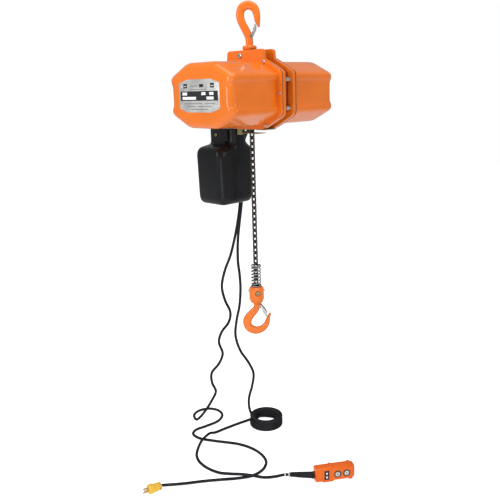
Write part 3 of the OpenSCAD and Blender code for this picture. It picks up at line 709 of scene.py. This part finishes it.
def make_hooks():
    up = (0, 0, 1)
    forged("top_hook_forging", TOP_STATIONS, thinned(0.8, 5.5), "top_hook", 0)
    forged("lower_hook_forging", LOW_STATIONS, thinned(0.75, 6), "lower_hook", BLOCK_LOW)
    lathe("top_hook_stem", [(-180, 8.4), (-179, 8.9), (-112, 8.9)], (0, 0, 0), up, "top_hook", "orange_paint")
    lathe("lower_hook_stem", [(-2, 9.9), (10, 9.9), (22, 9.9)], (0, 0, BLOCK_LOW), up,
          "lower_hook", "cast_iron")
    lathe("lower_hook_nut", [(10.3, 13), (11, 14.8), (21, 14.8), (22, 13)], (0, 0, BLOCK_LOW), up,
          "lower_hook", "cast_iron", sides=6, smooth=20)
    boss = [(-12.9, 4.0), (-12.4, 6.2), (-11, 6.8), (11, 6.8), (12.4, 6.2), (12.9, 4.0)]
    for name, pivot, body in (("top_latch_boss", TOP_PIVOT, "top_hook"),
                              ("lower_latch_boss", LOW_PIVOT, "lower_hook")):
        lathe(name, boss, hook_point(*pivot), hook_point(0, 0, 1), body, "orange_paint")
    sheet_latch("top_latch_plate", TOP_PIVOT, math.radians(70), 43, "top_latch", -1)
    sheet_latch("lower_latch_plate", LOW_PIVOT, math.radians(-61.6), 50, "lower_latch", 1)


def make_collar():
    """The swivel nut under the hook: a rolled orange collar and locking pin."""
    middle, half_height, core, roll = -123.7, 7.6, 18, 7.0
    arc_steps = 12
    profile = [(-131.4, 15), (-131.4, 20)]
    for k in range(arc_steps + 1):
        angle = -math.pi / 2 + math.pi * k / arc_steps
        profile.append((middle + half_height * math.sin(angle), core + roll * math.cos(angle)))
    profile += [(-116.2, 14.0), (-117.4, 13.2)]
    collar = lathe("swivel_collar", profile, (0, 0, 0), (0, 0, 1), "top_hook", "orange_paint", smooth=50)
    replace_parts(collar, "top_collar")
    at = Vector((0, 0, -121)) + Matrix.Rotation(math.radians(-150), 3, "Z") @ Vector((20, 0, 0))
    lathe("collar_pin", [(0, 2.6), (4.6, 2.6), (5.0, 1.6)], at, (at.x, at.y, 2), "top_hook", "cast_iron",
          sides=16)


# ---------------------------------------------------------------- chain
WIRE, EYE, PITCH = 6.8, 9.2, 21
LINK_TOP = -291
FALL_LINKS = 34


def link_rings(centre, across, along):
    """Points of one welded link, a closed loop of wire."""
    bend, sides = 12, 14
    leg = (EYE + WIRE) / 2
    half = (PITCH - EYE) / 2
    normal = across.cross(along)
    rings = []
    for end in (1, -1):
        for k in range(bend + 1):
            angle = math.pi * k / bend
            out = end * (across * math.cos(angle) + along * math.sin(angle))
            middle = centre + along * end * half + out * leg
            rings.append([middle + (out * math.cos(a) + normal * math.sin(a)) * WIRE / 2
                          for a in (2 * math.pi * s / sides for s in range(sides))])
    return rings


def chain_mesh(name, places):
    """All the links of a run, joined into one piece."""
    verts, faces = [], []
    for centre, across, along in places:
        rings = link_rings(centre, across, along)
        start = len(verts)
        count = len(rings[0])
        for ring in rings:
            verts.extend(ring)
        loops = len(rings)
        for i in range(loops):
            j = (i + 1) % loops
            for k in range(count):
                n = (k + 1) % count
                faces.append((start + i * count + k, start + i * count + n,
                              start + j * count + n, start + j * count + k))
    return link_mesh(name, verts, faces, "hoist", "chain_steel", smooth=80)


def make_chain():
    x, y, z = Vector((1, 0, 0)), Vector((0, 1, 0)), Vector((0, 0, 1))
    places = [(Vector((0, 0, LINK_TOP - i * PITCH)), y if i % 2 == 0 else x, z) for i in range(FALL_LINKS)]
    fall = chain_mesh("load_chain_fall", places)
    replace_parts(fall, "chain_fall")
    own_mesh(fall)


# ---------------------------------------------------------------- spring and block
def make_spring():
    """A compression spring with closed ends, standing on the block."""
    turns, radius, wire = 8.0, 17.0, 2.3
    bottom, top = BLOCK_TOP + 3.2, BLOCK_TOP + 81
    closed_share = 0.1
    steps = 26
    total = int(turns * steps)
    sides = 10
    rings = []
    for i in range(total + 1):
        t = i / total
        angle = 2 * math.pi * turns * t
        climbed = min(1, max(0, (t - closed_share) / (1 - 2 * closed_share)))
        height = bottom + (top - bottom) * climbed
        centre = Vector((radius * math.cos(angle), radius * math.sin(angle), height))
        out = Vector((math.cos(angle), math.sin(angle), 0))
        rings.append([centre + out * math.cos(a) * wire + Vector((0, 0, math.sin(a) * wire))
                      for a in (2 * math.pi * s / sides for s in range(sides))])
    spring = skin("limit_spring", rings, "hook_block", "spring_steel", smooth=80)
    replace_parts(spring, "stop_spring")


def make_block():
    """Side caps and clamp screws over the CAD block halves, which keep their bores."""
    turn = Matrix.Rotation(VIEW_TURN, 3, "Z")
    screw_z = BLOCK_TOP - 22
    made = []
    for side, name in ((1, "front"), (-1, "back")):
        at = turn @ Vector((side * 5, -side * 20.5, screw_z))
        made.append(socket_screw(f"clamp_screw_{name}", at, turn @ Vector((0, -side, 0)), 7.8, 6,
                                 "hook_block", "yellow_zinc"))
    for side, name in ((1, "right"), (-1, "left")):
        at = turn @ Vector((side * 27.4, 0, BLOCK_TOP - 17))
        made.append(lathe(f"side_plug_{name}", [(0, 5.6), (2.6, 5.6), (3.8, 4.8), (4.2, 1.2)], at,
                          turn @ Vector((side, 0, 0)), "hook_block", "zinc_steel", sides=20))
    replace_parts(made[0], "block_bolts")


# ---------------------------------------------------------------- chain container
BAG_X, BAG_Y, BAG_Z = (-115, 60), (48, 186), (-666, -462)
NECK_X, NECK_TOP = (-44, 27), -396


def bag_outline(inset):
    """Front view of the container: a neck that widens through two shoulders into a tapered box."""
    left, right = BAG_X[0] + inset, BAG_X[1] - inset
    low, high = BAG_Z[0] + inset, BAG_Z[1] - inset
    neck_left, neck_right = NECK_X[0] + inset, NECK_X[1] - inset
    corners = [((neck_left, NECK_TOP), 3), ((neck_left, high + 12), 16), ((left, high + 1), 26),
               ((left + 5, low), 30), ((right - 9, low), 22), ((right, high - 6), 20),
               ((neck_right, high + 20), 14), ((neck_right, NECK_TOP), 3)]
    return rounded([place for place, radius in corners], [radius for place, radius in corners], 6)


def make_container():
    rim = 24
    rim_steps = 7
    front, back = [], []
    for k in range(rim_steps + 1):
        angle = math.pi / 2 * k / rim_steps
        inward = rim * (1 - math.cos(angle))
        outline = bag_outline(rim * (1 - math.sin(angle)))
        front.append([(x, BAG_Y[0] + inward, z) for x, z in outline])
        back.append([(x, BAG_Y[1] - inward, z) for x, z in outline])
    rings = front + back[::-1]
    bag = skin("chain_bag_shell", rings, "hoist", "black_plastic", smooth=50)
    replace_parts(bag, "chain_container")
    x = NECK_X[0]
    bar("chain_bag_bracket", (x - 4, 96, -447), (x + 4, 158, -399), "hoist", "black_plastic", edge=1.6)
    bar("chain_bag_bracket_fold", (x - 9, 74, -441), (x + 2, 97, -399), "hoist", "black_plastic", edge=1.4)
    socket_screw("chain_bag_bolt", (x - 4, 136, -418), (-1, 0, 0), 5.5, 4, "hoist", "yellow_zinc")
    first_rib, rib_pitch, half_rib = BAG_X[0] + 34, 13, 0.9
    for i in range(9):
        rib_x = first_rib + i * rib_pitch
        bar(f"chain_bag_rib_{i}", (rib_x - half_rib, BAG_Y[0] - 0.35, BAG_Z[0] + 26),
            (rib_x + half_rib, BAG_Y[0] + 2, BAG_Z[1] - 16), "hoist", "black_plastic", edge=0.3)


# ---------------------------------------------------------------- zinc parts between the frames
def make_posts():
    along = (1, 0, 0)
    half_gap = 17.5
    half_ears = 30.5
    half_post = [(1, 5.8), (2, 8), (8, 8), (9, 5.6), (half_gap, 5.6)]
    profile = [(-x, radius) for x, radius in reversed(half_post)] + half_post
    made = []
    for y in (-158, 158):
        for z in (-48, 44):
            made.append(lathe(f"frame_post_{len(made)}", profile, (0, BODY_Y + y, BODY_Z + z), along,
                              "hoist", "zinc_steel"))
    lathe("container_post", [(-half_gap, 5), (half_gap, 5)], (0, 111, -352), along, "hoist", "zinc_steel")
    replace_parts(made[0], "spacer_posts")
    bolt = socket_screw("ear_bolt_front", (-half_ears, EAR_Y, EAR_Z), (-1, 0, 0), 8.6, 6,
                        "hoist", "zinc_steel")
    lathe("ear_bolt_shank", [(-half_ears, 4.9), (half_ears, 4.9)], (0, EAR_Y, EAR_Z), along,
          "hoist", "zinc_steel")
    lathe("ear_bolt_nut", [(half_ears, 9), (37.4, 9), (38.4, 7.6)], (0, EAR_Y, EAR_Z), along,
          "hoist", "zinc_steel", sides=6, smooth=20)
    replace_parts(bolt, "crosshead_bolt")


# ---------------------------------------------------------------- pendant
PEND_L, PEND_H, PEND_D = 150, 62, 38
BUTTON_X = (81, 115)
BUTTON_Z = 31


def pendant_turn():
    return Matrix.Rotation(PEND_TURN, 3, "Z")


def in_pendant(x, y, z):
    """A place in the pendant's own frame: x along it, y into it from its face, z up from the floor."""
    return pendant_turn() @ Vector((x, y, z)) + PEND_AT


def round_rect(x_low, x_high, y_low, y_high, radius, steps):
    points = []
    for cx, cy, start in ((x_high - radius, y_high - radius, 0), (x_low + radius, y_high - radius, 90),
                          (x_low + radius, y_low + radius, 180), (x_high - radius, y_low + radius, 270)):
        for k in range(steps + 1):
            angle = math.radians(start + 90 * k / steps)
            points.append((cx + radius * math.cos(angle), cy + radius * math.sin(angle)))
    return points


def pendant_box(name, low, high, material, edge):
    return bar(name, low, high, "hoist", material, pendant_turn(), PEND_AT, edge)


def make_pendant():
    rows = [(0, 5.5), (0.8, 2.8), (2.6, 0.9), (5.2, 0), (40, 0), (52, 0), (110, 0), (PEND_L - 14, 0),
            (PEND_L - 7, 1.4), (PEND_L - 2.6, 5.0), (PEND_L - 0.6, 9.6), (PEND_L, 15)]
    under, over = 3, 4
    rings = []
    for x, inset in rows:
        corner = max(9 - inset * 0.2, 5)
        shape = round_rect(inset, PEND_D - inset, inset + under, PEND_H - over - inset, corner, 5)
        rings.append([in_pendant(x, y, z) for y, z in shape])
    case = skin("control_case", rings, "hoist", "pendant_orange", smooth=40)
    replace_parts(case, "pendant_case")
    cut_button_wells(case)
    panel = pendant_box("control_face_panel", (60, -1.8, 8), (136, 3, PEND_H - 7), "pendant_orange", 1.4)
    apply_modifiers(panel)
    cut_button_wells(panel)
    lug_low, lug_top = (0, 8), (PEND_H - 11, PEND_H)
    lugs = (((53, 64), lug_top), ((122, 134), lug_top), ((26, 68), lug_low), ((126, 140), lug_low))
    for i, (x, z) in enumerate(lugs):
        pendant_box(f"control_lug_{i}", (x[0], 1.5, z[0]), (x[1], PEND_D - 6, z[1]), "pendant_orange", 3)
    for i, x in enumerate((2.5, 20)):
        pendant_box(f"control_end_band_{i}", (x, -1.0, 8), (x + 4, 3, PEND_H - 9), "pendant_orange", 0.9)
    pendant_box("control_label", (32, -1.2, 12), (50, 2, PEND_H - 14), "label_black", 0.5)
    pendant_box("control_mark_up", (38, -1.5, 34), (44, 2, 41), "label_white", 0)
    pendant_box("control_mark_down", (38, -1.5, 19), (44, 2, 26), "label_white", 0)
    for i, (y, z) in enumerate(((8, 9), (8, PEND_H - 9), (PEND_D - 8, 9), (PEND_D - 8, PEND_H - 9))):
        socket_screw(f"control_end_screw_{i}", in_pendant(0.4, y, z), pendant_turn() @ Vector((-1, 0, 0)),
                     3.2, 2.2, "hoist", "zinc_steel")


def ring_profile(outer, inner, height):
    """A ring's section, eased on its outer rim, for lathe."""
    return [(0, inner), (0, outer), (height * 0.6, outer), (height, outer - 0.8), (height, inner + 0.5),
            (height * 0.7, inner), (0, inner)]


def cut_button_wells(obj):
    """Round wells under the buttons, cut into the case or through its panel."""
    well_radius = 9.9
    for i, x in enumerate(BUTTON_X):
        tool = lathe(f"well_tool_{i}", [(-4, well_radius), (12, well_radius)], in_pendant(x, 0, BUTTON_Z),
                     pendant_turn() @ Vector((0, 1, 0)), None, "pendant_orange")
        cut(obj, tool)


def cut(obj, tool):
    modifier = obj.modifiers.new("well", "BOOLEAN")
    modifier.operation = "DIFFERENCE"
    modifier.solver = "EXACT"
    modifier.object = tool
    apply_modifiers(obj)
    bpy.data.objects.remove(tool)
    shade(obj.data, 35)


def apply_modifiers(obj):
    bpy.context.view_layer.update()
    deps = bpy.context.evaluated_depsgraph_get()
    mesh = bpy.data.meshes.new_from_object(obj.evaluated_get(deps))
    obj.modifiers.clear()
    obj.data = mesh


def make_buttons():
    """Bezels, dished caps and their centre dots; each cap takes the place of its body's node."""
    out = pendant_turn() @ Vector((0, -1, 0))
    bezel_ring = ring_profile(13.4, 9.7, 2.1)
    dish = [(-3, 9.2), (2.6, 9.2), (3.7, 8.6), (4.0, 7.4), (3.5, 5.6), (3.3, 0.5)]
    dot = [(3.0, 2.6), (3.5, 2.6), (3.7, 2.0), (3.8, 0.5)]
    bezels = []
    for x, body in ((BUTTON_X[1], "up_button"), (BUTTON_X[0], "down_button")):
        bezels.append(lathe(f"bezel_{body}", bezel_ring, in_pendant(x, -1.7, BUTTON_Z), out,
                            "hoist", "bezel_chrome"))
        at = in_pendant(x, 0, BUTTON_Z)
        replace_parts(lathe(f"cap_{body}", dish, at, out, body, "button_white"), body)
        lathe(f"dot_{body}", dot, at, out, body, "button_centre", sides=20)
    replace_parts(bezels[0], "pendant_fittings")


def make_boot():
    """A strain relief from the pendant's end to the cord: collar, smooth taper, ringed tail."""
    lean = Matrix.Rotation(math.radians(-17), 3, "Z") @ Matrix.Rotation(math.radians(-91), 3, "Y")
    turn = pendant_turn() @ lean
    base = in_pendant(0, PEND_D / 2, 26)
    axis = turn @ Vector((0, 0, 1))
    profile = [(0.6, 11.5), (1.0, 13.2), (7, 13.2), (8, 12.2), (40, 11.0), (56, 10.4)]
    first_ring, ring_pitch, groove = 58, 7, 1.3
    for k in range(4):
        along = first_ring + k * ring_pitch
        radius = 10.2 - 0.35 * k
        profile += [(along, radius), (along + 4.6, radius), (along + 5.2, radius - groove),
                    (along + 6.6, radius - groove)]
    profile += [(86.4, 8.6), (87.6, 7.8), (88, 5.0)]
    boot = lathe("cord_boot", profile, base, axis, "hoist", "cord_rubber", sides=28)
    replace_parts(boot, "pendant_boot")


def make_ties():
    """Two silver clamp bands on the pendant cord beside its boot."""
    made = []
    for back, radius in ((2, 8.8), (5, 7.2)):
        spot = len(pendant_points) - 1 - back
        along = pendant_points[spot + 1] - pendant_points[spot - 1]
        made.append(lathe(f"cord_band_{len(made)}", ring_profile(radius, 5.4, 5), pendant_points[spot],
                          along, "hoist", "zinc_steel", sides=24))
    return made


# ---------------------------------------------------------------- plug
def make_plug():
    """The shell with its grips, cord clamp and screw; its own +Z runs toward the blades."""
    turn = Matrix.Rotation(PLUG_TURN, 3, "Z") @ Matrix.Rotation(math.radians(90), 3, "Y")
    axis = turn @ Vector((0, 0, 1))
    profile = [(0.2, 5.2), (0.2, 8.8), (1.4, 9.8), (10.5, 9.9), (11.5, 13.4), (13, 14), (28, 14),
               (30.5, 15.4), (31.5, 17.0), (33, 17.4), (46, 17.4), (48.6, 16.8), (49.8, 15.2), (49.8, 6)]
    body = lathe("plug_shell", profile, PLUG_AT, axis, "hoist", "yellow_plastic", sides=44)
    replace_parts(body, "plug_body")
    made = [body]
    grips = 10
    for k in range(grips):
        spoke = turn @ Matrix.Rotation(2 * math.pi * k / grips, 3, "Z")
        made.append(bar(f"plug_grip_{k}", (13.2, -1.3, 14), (14.9, 1.3, 28), "hoist", "yellow_plastic",
                        spoke, PLUG_AT, 0.6))
    clamp_out, half_clamp = 8.0, 1.8
    for side, name in ((1, "upper"), (-1, "under")):
        made.append(bar(f"plug_clamp_{name}", (side * clamp_out - half_clamp, -12.5, 1.5),
                        (side * clamp_out + half_clamp, 12.5, 10), "hoist", "yellow_plastic",
                        turn, PLUG_AT, 1.0))
    made.append(socket_screw("plug_clamp_screw", turn @ Vector((-9.6, 10.2, 5.8)) + PLUG_AT,
                             turn @ Vector((-1, 0, 0)), 2.8, 2, "hoist", "zinc_steel"))
    return made


# ---------------------------------------------------------------- CAD nodes that keep their shape
EASED = {"front_frame": 2.0, "rear_frame": 2.0, "block_halves": 1.6, "crosshead": 1.0, "guide_plates": 0.5,
         "chain_housing": 1.0, "gear_case": 1.0, "limit_switch": 0.6, "limit_lever": 0.4,
         "contactors": 1.0, "transformer": 1.0, "chain_guide": 0.8, "brake_disc": 0.5, "end_bell": 0.8,
         "motor_housing": 0.8, "capacitors": 1.2, "plug_blades": 0.4, "cord_glands": 0.5}


def dress_cad():
    """Every CAD node takes its slot's material, and the visible ones get eased edges."""
    slots = {row["node"]: row["material_slot"] for row in frame["record"]["subparts"]}
    for name, obj in nodes.items():
        obj.data.materials.clear()
        obj.data.materials.append(MATERIALS[slots[name]])
        shade(obj.data, 30)
        if name in EASED:
            bevel(obj, EASED[name], 40)


def make_floor():
    """A white sheet that the camera sees glow, so it melts into the backdrop."""
    mesh = bpy.data.meshes.new("floor")
    reach = 9
    z = FLOOR_Z * MM - 0.0006
    corners = [(-reach, -reach, z), (reach, -reach, z), (reach, reach, z), (-reach, reach, z)]
    mesh.from_pydata(corners, [], [(0, 1, 2, 3)])
    material, tree, shader = new_material("floor_paper", (0.97, 0.97, 0.97), 0.9)
    shader.inputs["Specular IOR Level"].default_value = 0.0
    shader.inputs["Emission Color"].default_value = (1, 1, 1, 1)
    seen = tree.nodes.new("ShaderNodeLightPath").outputs["Is Camera Ray"]
    glow = tree.nodes.new("ShaderNodeMapRange")
    glow.inputs["To Min"].default_value = 0.12
    glow.inputs["To Max"].default_value = 0.85
    tree.links.new(seen, glow.inputs["Value"])
    tree.links.new(glow.outputs["Result"], shader.inputs["Emission Strength"])
    mesh.materials.append(material)
    floor = bpy.data.objects.new("floor", mesh)
    bpy.context.scene.collection.objects.link(floor)


make_camera()
make_lights()
make_floor()
dress_cad()
make_covers()
make_screws()
make_nameplate()
make_hooks()
make_collar()
make_chain()
make_spring()
make_block()
make_container()
make_posts()
make_pendant()
make_buttons()
make_boot()
ties = make_ties()
plug_pieces = make_plug()
